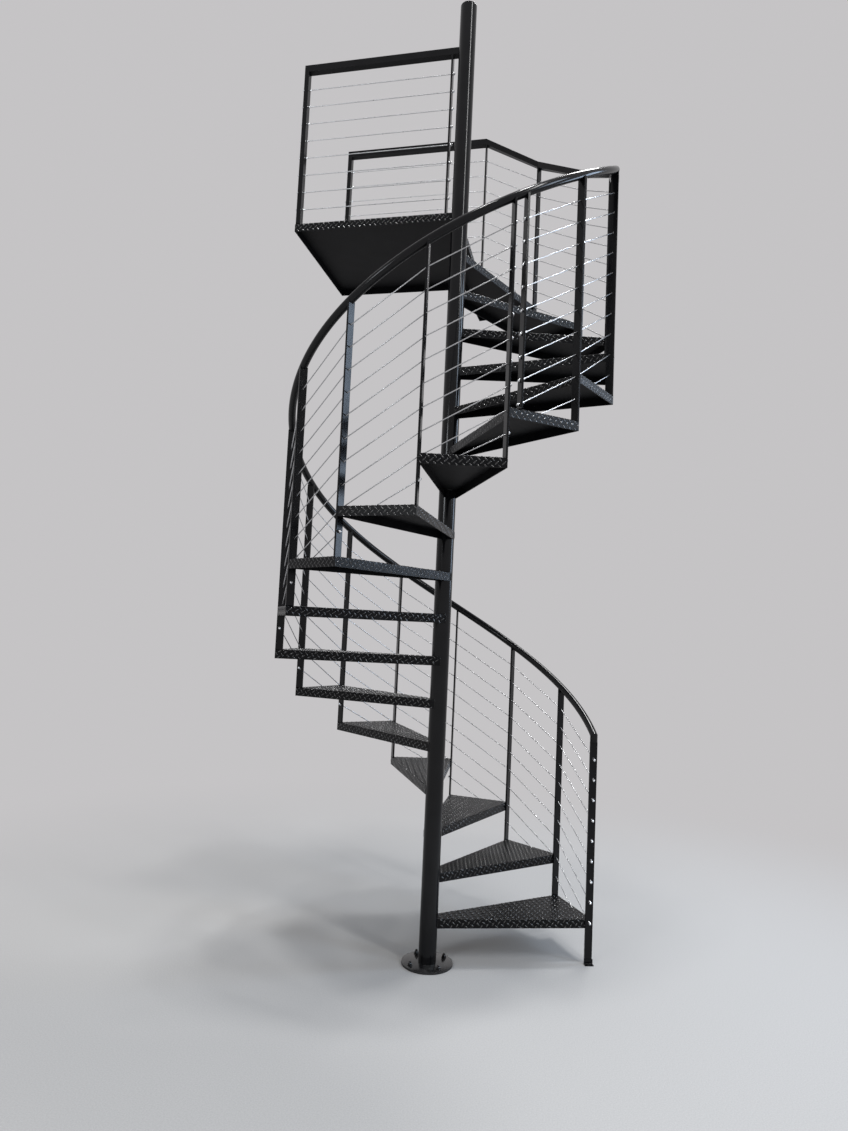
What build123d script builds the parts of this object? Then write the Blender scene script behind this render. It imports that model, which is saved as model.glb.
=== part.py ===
from build123d import *
from math import radians, degrees, cos, sin
import os

os.makedirs("parts", exist_ok=True)

# Spiral stair of black powder coated steel, drawn in millimetres with +Z up.
# The column axis is the Z axis and the floor is z = 0.
# The flight climbs counter-clockwise seen from above, and the landing runs along -X.

# Driving dimensions of the flight
riser = 215.0
tread_angle = 25.4
tread_count = 17
landing_azimuth = 90.0
post_radius = 815.0

# Column, foot and cap
column_d = 88.9
column_wall = 5.5
column_height = 5030.0
base_d = 254.0
base_t = 10.0
base_bolt_pcd = 200.0
base_bolt_hole_d = 14.0
base_bolt_count = 4
cap_t = 8.0
cap_edge_r = 4.0

# Treads and landing, folded plate
plate_t = 4.8
bend_r = 4.8
tread_flange = 44.0
landing_flange = 44.0
landing_length = 938.0
front_inner_offset = 14.0
cable_slot_clearance = 1.2

# Posts, flat bar
post_w = 38.1
post_t = 9.6
end_post_t = 25.4
post_break = 11
break_post_spacing = 58.0

# Handrail, round tube, and the guard rail round the opening
rail_d = 38.1
rail_height = 1135.0
rail_end_overrun = 26.0
rail_turn_drop = 34.0
rail_tip_r = 9.0
rail_last_post = 13
rail_facets_per_tread = 4
guard_rail_w = 38.1
guard_rail_h = 38.1
guard_rail_drop = 46.0
guard_run_height = 1117.0
guard_height = 922.0
seat = 0.1

# Cables and their end fittings
cable_d = 4.8
cable_joint = 0.8
hole_clearance = 1.3
first_hole = 102.4
hole_pitch = 101.6
hole_count = 10
short_cable_reach = 0.55
fitting_d = 14.0
fitting_l = 12.0
fitting_dome_r = 4.5
ferrule_d = 8.0
ferrule_l = 18.0
near_post_reach = 80.0
end_post_reach = 922.0

# Floor clip of the newel post
clip_w = 45.0
clip_leg = 25.0
clip_t = 3.2
clip_bend_r = 3.2
clip_hole_d = 6.5

column_r = column_d / 2
rail_r = rail_d / 2
cable_r = cable_d / 2
hole_r = cable_r + hole_clearance
outer_radius = post_radius + post_w / 2
landing_level = (tread_count + 1) * riser
newel_azimuth = landing_azimuth - tread_count * tread_angle


def azimuth(n):
    return newel_azimuth + n * tread_angle


def radial(angle):
    return Vector(cos(radians(angle)), sin(radians(angle)), 0)


def tangent(angle):
    return Vector(-sin(radians(angle)), cos(radians(angle)), 0)


def hole_z(k):
    return first_hole + k * hole_pitch


def post_point(n, z):
    point = radial(azimuth(n)) * post_radius
    return Vector(point.X, point.Y, z)


def landing_point(along, across, z):
    # along runs from the column towards the floor above, across runs from the column to the corner post
    point = tangent(landing_azimuth) * along + radial(landing_azimuth) * across
    return Vector(point.X, point.Y, z)


# Plan corners shared by the treads and the landing
def back_corner(n):
    return radial(azimuth(n)) * outer_radius + tangent(azimuth(n)) * (post_t / 2)


def front_inner(n):
    return tangent(azimuth(n - 1)) * -front_inner_offset


def back_inner(n):
    return tangent(azimuth(n)) * column_r


def front_corner(n):
    angle = azimuth(n - 1)
    post_face = radial(angle) * (post_radius - post_w / 2) + tangent(angle) * (post_t / 2)
    start = front_inner(n)
    direction = (post_face - start).normalized()
    reach = (radial(angle) * outer_radius - start).dot(radial(angle)) / direction.dot(radial(angle))
    return start + direction * reach


def inward(points, distances):
    # Moves each side of a counter-clockwise polygon inwards by its own distance
    count = len(points)
    lines = []
    for i in range(count):
        start = points[i]
        side = (points[(i + 1) % count] - start).normalized()
        normal = Vector(-side.Y, side.X, 0)
        lines.append((start + normal * distances[i], side))
    corners = []
    for i in range(count):
        p, d = lines[i - 1]
        q, e = lines[i]
        cross = d.X * e.Y - d.Y * e.X
        gap = q - p
        step = (gap.X * e.Y - gap.Y * e.X) / cross
        corners.append(p + d * step)
    return corners


def add_rod(start, end, radius, mode):
    # Round rod between two points
    axis = end - start
    with Locations(Plane(origin=start, z_dir=axis)):
        Cylinder(radius, axis.length, align=(Align.CENTER, Align.CENTER, Align.MIN), mode=mode)


# Foot plate with its bolt holes
with BuildPart() as base_plate:
    Cylinder(base_d / 2, base_t, align=(Align.CENTER, Align.CENTER, Align.MIN))
    top_rim = base_plate.edges().filter_by(GeomType.CIRCLE).sort_by(Axis.Z)[-1]
    chamfer(top_rim, 1.0)
    with PolarLocations(base_bolt_pcd / 2, base_bolt_count, start_angle=45):
        Hole(base_bolt_hole_d / 2)
base_plate.part.label = "base_plate"
export_step(base_plate.part, "parts/base_plate.step")

# Column tube
with BuildPart() as column:
    with BuildSketch(Plane.XY.offset(base_t)):
        Circle(column_r)
        Circle(column_r - column_wall, mode=Mode.SUBTRACT)
    extrude(amount=column_height - base_t)
column.part.label = "column"
export_step(column.part, "parts/column.step")

# Column cap with a softened rim
with BuildPart() as column_cap:
    with Locations((0, 0, column_height)):
        Cylinder(column_r, cap_t, align=(Align.CENTER, Align.CENTER, Align.MIN))
    cap_rim = column_cap.edges().filter_by(GeomType.CIRCLE).sort_by(Axis.Z)[-1]
    fillet(cap_rim, cap_edge_r)
column_cap.part.label = "column_cap"
export_step(column_cap.part, "parts/column_cap.step")


# Wedge shaped pan treads, flanges turned down on the front, outer and back edges
def build_tread(n):
    top = n * riser
    outline = [front_inner(n), front_corner(n), back_corner(n), back_inner(n)]
    pocket = inward(outline, [plate_t, plate_t, plate_t, 0])
    with BuildPart() as tread:
        with BuildSketch(Plane.XY.offset(top - tread_flange)):
            Polygon(*[(p.X, p.Y) for p in outline], align=None)
        extrude(amount=tread_flange)
        folds = tread.faces().sort_by(Axis.Z)[-1].edges().sort_by_distance((0, 0, top))[1:]
        fillet(folds, bend_r)
        with BuildSketch(Plane.XY.offset(top - tread_flange)):
            Polygon(*[(p.X, p.Y) for p in pocket], align=None)
        extrude(amount=tread_flange - plate_t, mode=Mode.SUBTRACT)
        with BuildSketch(Plane.XY.offset(top - 2 * tread_flange)):
            Circle(column_r)
        extrude(amount=3 * tread_flange, mode=Mode.SUBTRACT)
        if n - 1 != post_break:
            # Slot where the lowest through cable leaves the tread corner
            low = post_point(n - 1, (n - 1) * riser + hole_z(1))
            high = post_point(n, n * riser + hole_z(1))
            slot_end = low + (high - low).normalized() * (3 * post_w)
            add_rod(low, slot_end, cable_r + cable_slot_clearance, Mode.SUBTRACT)
    return tread


for n in range(1, tread_count + 1):
    tread = build_tread(n)
    tread.part.label = f"tread_{n:02d}"
    export_step(tread.part, f"parts/tread_{n:02d}.step")

# Landing pan from the column and the corner post to the floor above
landing_first = tread_count + 1
landing_outline = [
    landing_point(0, 0, 0),
    front_corner(landing_first),
    landing_point(landing_length, outer_radius, 0),
    landing_point(landing_length, 0, 0),
]
with BuildPart() as landing:
    with BuildSketch(Plane.XY.offset(landing_level - landing_flange)):
        Polygon(*[(p.X, p.Y) for p in landing_outline], align=None)
    extrude(amount=landing_flange)
    fillet(landing.faces().sort_by(Axis.Z)[-1].edges(), bend_r)
    with BuildSketch(Plane.XY.offset(landing_level - landing_flange)):
        landing_pocket = inward(landing_outline, [plate_t] * 4)
        Polygon(*[(p.X, p.Y) for p in landing_pocket], align=None)
    extrude(amount=landing_flange - plate_t, mode=Mode.SUBTRACT)
    with BuildSketch(Plane.XY.offset(landing_level - 2 * landing_flange)):
        Circle(column_r)
    extrude(amount=3 * landing_flange, mode=Mode.SUBTRACT)
landing.part.label = "landing"
export_step(landing.part, "parts/landing.step")

# Helical handrail with a turned down lower end and a domed upper end
rail_pitch = riser * 360 / tread_angle
rail_end = azimuth(rail_last_post) + degrees(rail_end_overrun / post_radius)


def rail_point(angle):
    turn = angle - newel_azimuth
    point = radial(angle) * post_radius
    return Vector(point.X, point.Y, rail_height + rail_pitch * turn / 360)


rail_step = tread_angle / rail_facets_per_tread
rail_facets = rail_last_post * rail_facets_per_tread
rail_nodes = [rail_point(newel_azimuth) - Vector(0, 0, rail_turn_drop)]
rail_nodes += [rail_point(newel_azimuth + i * rail_step) for i in range(rail_facets + 1)]
rail_nodes.append(rail_point(rail_end))
with BuildPart() as handrail:
    with BuildLine() as rail_path:
        Polyline(*rail_nodes)
    with BuildSketch(Plane(origin=rail_nodes[0], z_dir=(0, 0, 1))):
        Circle(rail_r)
    sweep(path=rail_path.line, transition=Transition.RIGHT)
    rail_tip = handrail.edges().filter_by(GeomType.CIRCLE).sort_by(Axis.Z)[-1]
    fillet(rail_tip, rail_tip_r)
handrail.part.label = "handrail"
export_step(handrail.part, "parts/handrail.step")

# Guard rail of square section, rising from the thirteenth post to the corner post, then level
guard_level = landing_level + guard_height
guard_nodes = []
for n in range(rail_last_post, tread_count + 1):
    guard_nodes.append(post_point(n, n * riser + guard_run_height))
start_side = tangent(azimuth(rail_last_post)) * (post_t / 2)
guard_nodes[0] = post_point(rail_last_post, rail_last_post * riser + rail_height - guard_rail_drop) + start_side
guard_nodes[-1] = post_point(tread_count, guard_level)
guard_nodes.append(landing_point(end_post_reach + end_post_t / 2, post_radius, guard_level))


def mitre_plane(nodes, i):
    # Vertical plane that halves the plan angle between two rail runs, or the face of the first post
    if i == 0:
        first = azimuth(rail_last_post)
        heading = (nodes[1] - nodes[0]).cross(Vector(0, 0, 1)).normalized()
        return Plane(origin=nodes[0], x_dir=radial(first) * -1, z_dir=tangent(first)), heading.dot(radial(first))
    before = nodes[i] - nodes[max(i - 1, 0)]
    after = nodes[min(i + 1, len(nodes) - 1)] - nodes[i]
    heading_in = Vector(before.X, before.Y, 0)
    heading_out = Vector(after.X, after.Y, 0)
    if heading_in.length == 0:
        heading_in = heading_out
    if heading_out.length == 0:
        heading_out = heading_in
    heading = heading_in.normalized() + heading_out.normalized()
    half_turn = heading.length / 2
    across = Vector(-heading.Y, heading.X, 0)
    return Plane(origin=nodes[i], x_dir=across, z_dir=heading), half_turn


with BuildPart() as guard_rail:
    for i in range(len(guard_nodes) - 1):
        for j in (i, i + 1):
            section_plane, half_turn = mitre_plane(guard_nodes, j)
            with BuildSketch(section_plane):
                Rectangle(guard_rail_w / half_turn, guard_rail_h)
        loft(ruled=True)
guard_rail.part.label = "guard_rail"
export_step(guard_rail.part, "parts/guard_rail.step")

# Guard rail from the column along the near side of the landing
south_line = post_w / 2
with BuildPart() as landing_rail:
    rail_from = landing_point(0, south_line, guard_level)
    with BuildSketch(Plane(origin=rail_from, x_dir=radial(landing_azimuth), z_dir=tangent(landing_azimuth))):
        Rectangle(guard_rail_w, guard_rail_h)
    extrude(amount=end_post_reach + end_post_t / 2)
    with BuildSketch(Plane.XY.offset(guard_level - guard_rail_h)):
        Circle(column_r)
    extrude(amount=2 * guard_rail_h, mode=Mode.SUBTRACT)
landing_rail.part.label = "landing_rail"
export_step(landing_rail.part, "parts/landing_rail.step")


# Flat bar posts, wide side radial, drilled along the cable run
def run_direction(n):
    before = post_point(n, n * riser) - post_point(n - 1, (n - 1) * riser)
    after = post_point(n + 1, (n + 1) * riser) - post_point(n, n * riser)
    return (before + after).normalized()


def add_post_bar(centre, facing, thickness, bottom, top, mode=Mode.ADD):
    # facing is the azimuth of the wide direction of the bar
    with Locations(Plane(origin=(centre.X, centre.Y, bottom), x_dir=radial(facing), z_dir=(0, 0, 1))):
        Box(post_w, thickness, top - bottom, align=(Align.CENTER, Align.CENTER, Align.MIN), mode=mode)


def drill(centre, direction, z_values):
    for z in z_values:
        middle = Vector(centre.X, centre.Y, z)
        add_rod(middle - direction * post_w, middle + direction * post_w, hole_r, Mode.SUBTRACT)


def short_cable_end(n):
    edge = front_corner(n) * short_cable_reach + back_corner(n) * (1 - short_cable_reach)
    inset = edge.normalized() * (edge.length - post_w / 2)
    return Vector(inset.X, inset.Y, n * riser)


def short_cable_run(n):
    return (short_cable_end(n) - post_point(n, n * riser + hole_z(0))).normalized()


def cope_round(angle):
    # Saddle that seats the bar on the runs of the round handrail beside it
    turn = (angle - newel_azimuth) / rail_step
    for i in (int(turn + 0.5), int(turn + 1.5)):
        direction = (rail_nodes[i + 1] - rail_nodes[i]).normalized()
        head = rail_nodes[i] - direction * (2 * post_t)
        tail = rail_nodes[i + 1] + direction * (2 * post_t)
        add_rod(head, tail, rail_r + seat, Mode.SUBTRACT)


def build_post(n, bottom=None, angle=None, keys=None, level=None):
    turn = azimuth(n) if angle is None else angle
    centre = radial(turn) * post_radius
    base = n * riser if bottom is None else bottom
    key_level = n * riser if level is None else level
    rows = range(hole_count) if keys is None else keys
    with BuildPart() as post:
        if n <= rail_last_post:
            top = rail_point(turn).Z - rail_r / 2
            add_post_bar(centre, turn, post_t, base, top)
            cope_round(turn)
        else:
            add_post_bar(centre, turn, post_t, base, guard_nodes[n - rail_last_post].Z)
            add(guard_rail.part, mode=Mode.SUBTRACT)
        drill(centre, run_direction(n), [key_level + hole_z(k) for k in rows if k > 0])
        if 0 in rows:
            drill(centre, short_cable_run(n), [key_level + hole_z(0)])
    return post


break_angle = azimuth(post_break) + degrees(break_post_spacing / post_radius)
break_level = post_break * riser + riser * degrees(break_post_spacing / post_radius) / tread_angle

with BuildPart() as newel:
    newel_centre = radial(newel_azimuth) * post_radius
    add_post_bar(newel_centre, newel_azimuth, post_t, 0, rail_height - rail_turn_drop - seat)
    newel_run = (post_point(1, riser) - post_point(0, 0)).normalized()
    drill(newel_centre, newel_run, [hole_z(k) for k in range(1, hole_count)])
newel.part.label = "newel_post"
export_step(newel.part, "parts/newel_post.step")


def export_group(name, blocks):
    group = Compound(children=[Solid(b.part.solids().sort_by(SortBy.VOLUME)[-1].wrapped) for b in blocks])
    group.label = name
    export_step(group, f"parts/{name}.step")


lower_posts = [build_post(n) for n in range(1, 7)]
export_group("posts_lower", lower_posts)

middle_posts = [build_post(n) for n in range(7, post_break + 1)]
break_post = build_post(post_break, (post_break + 1) * riser, break_angle, range(1, hole_count), break_level)
export_group("posts_middle", middle_posts + [break_post])

upper_posts = [build_post(n) for n in range(post_break + 1, tread_count)]
export_group("posts_upper", upper_posts)

# Corner post and the three posts of the landing guard
corner_rows = range(1, hole_count)
level_rows = range(2, hole_count)
level_heights = [tread_count * riser + hole_z(k) for k in level_rows]
with BuildPart() as corner_post:
    corner_centre = radial(landing_azimuth) * post_radius
    add_post_bar(corner_centre, landing_azimuth, post_t, tread_count * riser, guard_level)
    add(guard_rail.part, mode=Mode.SUBTRACT)
    last_run = (post_point(1, riser) - post_point(0, 0)).normalized()
    drill(corner_centre, last_run.rotate(Axis.Z, (tread_count - 1) * tread_angle), [
        tread_count * riser + hole_z(k) for k in corner_rows
    ])
    drill(corner_centre, short_cable_run(tread_count), [tread_count * riser + hole_z(0)])
    drill(corner_centre, tangent(landing_azimuth), level_heights)


def build_level_post(along, across, thickness):
    centre = landing_point(along, across, 0)
    with BuildPart() as post:
        rail_bottom = guard_level - guard_rail_h / 2
        add_post_bar(centre, landing_azimuth, thickness, landing_level, rail_bottom)
        drill(centre, tangent(landing_azimuth), level_heights)
    return post


far_end_post = build_level_post(end_post_reach, post_radius, end_post_t)
near_end_post = build_level_post(end_post_reach, south_line, end_post_t)
near_column_post = build_level_post(near_post_reach, south_line, post_t)
export_group("posts_landing", [corner_post, far_end_post, near_end_post, near_column_post])


# Folded clip that fixes the newel post to the floor
clip_out = tangent(newel_azimuth) * -1
clip_corner = newel_centre + clip_out * (post_t / 2) + radial(newel_azimuth) * (clip_w / 2)
with BuildPart() as newel_clip:
    with BuildSketch(Plane(origin=clip_corner, x_dir=clip_out, z_dir=radial(newel_azimuth) * -1)):
        Rectangle(clip_leg, clip_leg, align=(Align.MIN, Align.MIN))
        with Locations((clip_t, clip_t)):
            Rectangle(clip_leg, clip_leg, align=(Align.MIN, Align.MIN), mode=Mode.SUBTRACT)
    extrude(amount=clip_w)
    crease = newel_clip.edges().filter_by(GeomType.LINE).sort_by_distance(clip_corner)
    heel = [edge for edge in crease if abs(edge.length - clip_w) < 0.01]
    fillet(heel[1], clip_bend_r)
    bolt_spot = newel_centre + clip_out * (post_t / 2 + (clip_leg + clip_t) / 2)
    with Locations(bolt_spot):
        Cylinder(clip_hole_d / 2, 3 * clip_t, mode=Mode.SUBTRACT)
newel_clip.part.label = "newel_clip"
export_step(newel_clip.part, "parts/newel_clip.step")


# Stainless cables in parallel rows, each row carried from end post to end post.
# The spans of a row meet inside the holes of the posts.
def seat_reach(run, facing, thickness):
    # Distance along a run from the middle of a post to where the cable end meets the plane of its face
    slope = abs(run.dot(tangent(facing)))
    return (thickness / 2 - cable_r * (1 - slope**2) ** 0.5) / slope


def build_row(nodes, first, last):
    # first and last are the facing and the thickness of the end posts
    spans = []
    for i in range(len(nodes) - 1):
        run = (nodes[i + 1] - nodes[i]).normalized()
        head = nodes[i] + run * cable_joint
        tail = nodes[i + 1] - run * cable_joint
        if i == 0:
            head = nodes[i] - run * seat_reach(run, *first)
        if i == len(nodes) - 2:
            tail = nodes[i + 1] + run * seat_reach(run, *last)
        with BuildPart() as span:
            add_rod(head, tail, cable_r, Mode.ADD)
        spans.append(span)
    return spans


def build_fitting(centre, outward, facing, thickness):
    # Domed button on a cable end, seated on the face of its post
    tip = centre + outward * (thickness / 2 / abs(outward.dot(tangent(facing))) + fitting_l)
    with BuildPart() as fitting:
        add_rod(centre, tip, fitting_d / 2, Mode.ADD)
        rim = fitting.edges().filter_by(GeomType.CIRCLE).sort_by_distance(tip)[0]
        fillet(rim, fitting_dome_r)
        block = thickness + 2 * seat
        add_post_bar(centre, facing, block, centre.Z - post_w, centre.Z + post_w, Mode.SUBTRACT)
    return fitting


def build_ferrule(centre, outward, facing, thickness):
    # Swaged sleeve round a cable where it leaves a tensioned end post
    tip = centre + outward * (thickness / 2 / abs(outward.dot(tangent(facing))) + ferrule_l)
    with BuildPart() as ferrule:
        add_rod(centre, tip, ferrule_d / 2, Mode.ADD)
        rim = ferrule.edges().filter_by(GeomType.CIRCLE).sort_by_distance(tip)[0]
        chamfer(rim, (ferrule_d - cable_d) / 4)
        add_rod(centre - outward, tip + outward, cable_r + seat, Mode.SUBTRACT)
        block = thickness + 2 * seat
        add_post_bar(centre, facing, block, centre.Z - post_w, centre.Z + post_w, Mode.SUBTRACT)
    return ferrule


lower_cables = []
upper_cables = []
landing_cables = []
fittings = []
ferrules = []
level_run = tangent(landing_azimuth)
for k in range(1, hole_count):
    nodes = [post_point(n, n * riser + hole_z(k)) for n in range(0, post_break + 1)]
    first_run = (nodes[1] - nodes[0]).normalized()
    last_run = (nodes[-1] - nodes[-2]).normalized()
    lower_cables += build_row(nodes, (newel_azimuth, post_t), (azimuth(post_break), post_t))
    fittings.append(build_fitting(nodes[0], first_run * -1, newel_azimuth, post_t))
    if k > 1:
        fittings.append(build_fitting(nodes[-1], last_run, azimuth(post_break), post_t))
    start = radial(break_angle) * post_radius
    nodes = [Vector(start.X, start.Y, break_level + hole_z(k))]
    nodes += [post_point(n, n * riser + hole_z(k)) for n in range(post_break + 1, tread_count + 1)]
    end_thickness = post_t
    if k > 1:
        nodes.append(landing_point(end_post_reach, post_radius, tread_count * riser + hole_z(k)))
        end_thickness = end_post_t
        fittings.append(build_fitting(nodes[-1], level_run, landing_azimuth, end_post_t))
        ferrules.append(build_ferrule(nodes[-1], level_run * -1, landing_azimuth, end_post_t))
    first_run = (nodes[1] - nodes[0]).normalized()
    upper_cables += build_row(nodes, (break_angle, post_t), (landing_azimuth, end_thickness))
    fittings.append(build_fitting(nodes[0], first_run * -1, break_angle, post_t))
    ferrules.append(build_ferrule(nodes[0], first_run, break_angle, post_t))
for z in level_heights:
    nodes = [landing_point(near_post_reach, south_line, z), landing_point(end_post_reach, south_line, z)]
    landing_cables += build_row(nodes, (landing_azimuth, post_t), (landing_azimuth, end_post_t))
    fittings.append(build_fitting(nodes[0], level_run * -1, landing_azimuth, post_t))
    fittings.append(build_fitting(nodes[1], level_run, landing_azimuth, end_post_t))
    ferrules.append(build_ferrule(nodes[1], level_run * -1, landing_azimuth, end_post_t))
export_group("cables_lower", lower_cables)
export_group("cables_upper", upper_cables)
export_group("cables_landing", landing_cables)

# Short cables from each back post down to the outer edge of its tread
short_cables = []
for n in range(1, tread_count + 1):
    start = post_point(n, n * riser + hole_z(0))
    end = short_cable_end(n)
    direction = short_cable_run(n)
    with BuildPart() as short_cable:
        head = start - direction * seat_reach(direction, azimuth(n), post_t)
        add_rod(head, end + direction * post_t, cable_r, Mode.ADD)
        with BuildSketch(Plane.XY.offset(n * riser - tread_flange)):
            Circle(outer_radius * 2)
        extrude(amount=tread_flange, mode=Mode.SUBTRACT)
    short_cables.append(short_cable)
    fittings.append(build_fitting(start, direction * -1, azimuth(n), post_t))
export_group("cables_short", short_cables)
export_group("cable_fittings", fittings)
export_group("cable_ferrules", ferrules)
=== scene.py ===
import math
import random

import bpy
import numpy as np
from mathutils import Matrix, Vector


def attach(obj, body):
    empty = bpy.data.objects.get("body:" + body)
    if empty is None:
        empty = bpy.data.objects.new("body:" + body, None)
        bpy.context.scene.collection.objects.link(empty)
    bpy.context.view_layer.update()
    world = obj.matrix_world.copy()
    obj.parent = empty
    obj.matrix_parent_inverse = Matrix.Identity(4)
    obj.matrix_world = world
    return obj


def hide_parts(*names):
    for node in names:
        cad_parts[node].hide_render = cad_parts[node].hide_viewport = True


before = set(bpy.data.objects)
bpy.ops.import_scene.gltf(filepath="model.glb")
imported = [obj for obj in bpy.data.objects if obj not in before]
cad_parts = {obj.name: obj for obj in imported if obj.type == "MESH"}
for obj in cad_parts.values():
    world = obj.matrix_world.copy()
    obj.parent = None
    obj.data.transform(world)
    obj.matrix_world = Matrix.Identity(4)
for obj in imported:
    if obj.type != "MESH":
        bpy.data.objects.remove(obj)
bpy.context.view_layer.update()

# Camera, solved from the photograph, with its place in metres and its angles in degrees
IMAGE_HEIGHT_PX = 1131
FOCAL_PX = 760.2
SENSOR_HEIGHT_MM = 24.0
CAMERA_PLACE = (0.747, -3.825, 1.653)
CAMERA_HEADING = -12.59
CAMERA_PITCH = 4.60
CAMERA_ROLL = 2.64

# Sizes shared with the solids, in metres and radians
RISER = 0.215
TURN = math.radians(25.4)
TREADS = 17
POST_RADIUS = 0.815
POST_W = 0.0381
POST_T = 0.0096
END_POST_T = 0.0254
BREAK_POST = 11
BREAK_SPACING = 0.058
BREAK_TURN = BREAK_SPACING / POST_RADIUS
OUTER_RADIUS = POST_RADIUS + POST_W / 2
COLUMN_R = 0.04445
COLUMN_WALL = 0.0055
COLUMN_TOP = 5.030
CAP_T = 0.008
CAP_EDGE_R = 0.004
BASE_R = 0.127
BASE_T = 0.010
BOLT_CIRCLE_R = 0.100
CLIP_LEG = 0.025
CLIP_T = 0.0032
PLATE_T = 0.0048
BEND_R = 0.0048
FLANGE = 0.044
FRONT_INNER = 0.014
LANDING_LEVEL = (TREADS + 1) * RISER
LANDING_LENGTH = 0.938
LANDING_FACING = math.pi / 2
END_POST_REACH = 0.922
NEAR_POST_REACH = 0.080
SOUTH_LINE = POST_W / 2
RAIL_R = 0.01905
RAIL_HEIGHT = 1.135
RAIL_OVERRUN = 0.026
RAIL_DROP = 0.034
RAIL_TIP_R = 0.009
RAIL_LAST_POST = 13
CABLE_R = 0.0024
FIRST_HOLE = 0.1024
HOLE_PITCH = 0.1016
HOLES = 10
SHORT_REACH = 0.55
FITTING_R = 0.007
FITTING_L = 0.012
FITTING_DOME_R = 0.0045
FERRULE_R = 0.004
FERRULE_L = 0.018

# Facets, edges and sunk depths of the pieces that are drawn here
COLUMN_SIDES = 96
RAIL_SIDES = 48
RAIL_STEPS = 260
RAIL_TIP_STEPS = 8
CABLE_SIDES = 12
FITTING_SIDES = 16
FERRULE_SIDES = 14
BASE_EDGE = 0.001
BASE_EDGE_CUT = 0.3
FITTING_SUNK = 0.0042
SOCKET_R = 0.0026
SOCKET_FLOOR_R = 0.0022
SOCKET_DEPTH = 0.0008
FERRULE_SUNK = 0.002
FERRULE_EDGE = 0.001
SHORT_CABLE_SUNK = 0.002

ORIGIN = Vector((0, 0, 0))
UP = Vector((0, 0, 1))


# Places on the stair. Azimuths run counter-clockwise from +X, and the landing runs along -X.
def azimuth(n):
    return LANDING_FACING + (n - TREADS) * TURN


def radial(angle):
    return Vector((math.cos(angle), math.sin(angle), 0))


def tangent(angle):
    return Vector((-math.sin(angle), math.cos(angle), 0))


def at_height(point, z):
    return Vector((point.x, point.y, z))


def hole_z(k):
    return FIRST_HOLE + k * HOLE_PITCH


def post_point(n, z):
    return at_height(radial(azimuth(n)) * POST_RADIUS, z)


def landing_point(along, across, z):
    return Vector((-along, across, z))


def rail_point(angle):
    climbed = RISER * (angle - azimuth(0)) / TURN
    return at_height(radial(angle) * POST_RADIUS, RAIL_HEIGHT + climbed)


def front_inner(n):
    return tangent(azimuth(n - 1)) * -FRONT_INNER


def front_corner(n):
    angle = azimuth(n - 1)
    post_corner = radial(angle) * (POST_RADIUS - POST_W / 2) + tangent(angle) * (POST_T / 2)
    start = front_inner(n)
    direction = (post_corner - start).normalized()
    reach = (radial(angle) * OUTER_RADIUS - start).dot(radial(angle)) / direction.dot(radial(angle))
    return start + direction * reach


def back_corner(n):
    return radial(azimuth(n)) * OUTER_RADIUS + tangent(azimuth(n)) * (POST_T / 2)


def back_inner(n):
    return tangent(azimuth(n)) * COLUMN_R


def tread_outline(n):
    return [front_inner(n), front_corner(n), back_corner(n), back_inner(n)]


def landing_outline():
    return [
        landing_point(0, 0, 0),
        front_corner(TREADS + 1),
        landing_point(LANDING_LENGTH, OUTER_RADIUS, 0),
        landing_point(LANDING_LENGTH, 0, 0),
    ]


def short_cable_end(n):
    edge = front_corner(n) * SHORT_REACH + back_corner(n) * (1 - SHORT_REACH)
    inset = edge.normalized() * (edge.length - POST_W / 2)
    return at_height(inset, n * RISER)


BREAK_ANGLE = azimuth(BREAK_POST) + BREAK_TURN
BREAK_LEVEL = RISER * (BREAK_POST + BREAK_TURN / TURN)
LANDING_RUN = landing_point(1, 0, 0)


def add_camera():
    heading, pitch, roll = (math.radians(a) for a in (CAMERA_HEADING, CAMERA_PITCH, CAMERA_ROLL))
    forward = Vector((
        math.sin(heading) * math.cos(pitch),
        math.cos(heading) * math.cos(pitch),
        math.sin(pitch),
    ))
    level = Vector((math.cos(heading), -math.sin(heading), 0))
    upright = level.cross(forward)
    right = level * math.cos(roll) + upright * math.sin(roll)
    up = upright * math.cos(roll) - level * math.sin(roll)
    data = bpy.data.cameras.new("camera")
    data.sensor_fit = "VERTICAL"
    data.sensor_height = SENSOR_HEIGHT_MM
    data.lens = SENSOR_HEIGHT_MM * FOCAL_PX / IMAGE_HEIGHT_PX
    camera = bpy.data.objects.new("camera", data)
    camera.matrix_world = Matrix((
        (right.x, up.x, -forward.x, CAMERA_PLACE[0]),
        (right.y, up.y, -forward.y, CAMERA_PLACE[1]),
        (right.z, up.z, -forward.z, CAMERA_PLACE[2]),
        (0, 0, 0, 1),
    ))
    bpy.context.scene.collection.objects.link(camera)
    bpy.context.scene.camera = camera


add_camera()


# Materials
COAT_DARK = (0.0028, 0.0029, 0.0036)
COAT_LIGHT = (0.0056, 0.0058, 0.0067)
COAT_BUMP = 0.0004
DUST = (0.16, 0.155, 0.15)
UNDERSIDE_ROUGH = 0.62
FOLD_POLISH = 0.20
STEEL_DARK = (0.66, 0.67, 0.69)
STEEL_LIGHT = (0.80, 0.81, 0.82)
# Painted shade: the ropes' colour is darkened by this factor for the shade between their strands, so that
# they read dark against the backdrop.
ROPE_PAINTED_SHADE = 0.74
ROPE_STRANDS = 6
STRAND_PITCH = 0.006
STRAND_BUMP = 0.0005


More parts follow.
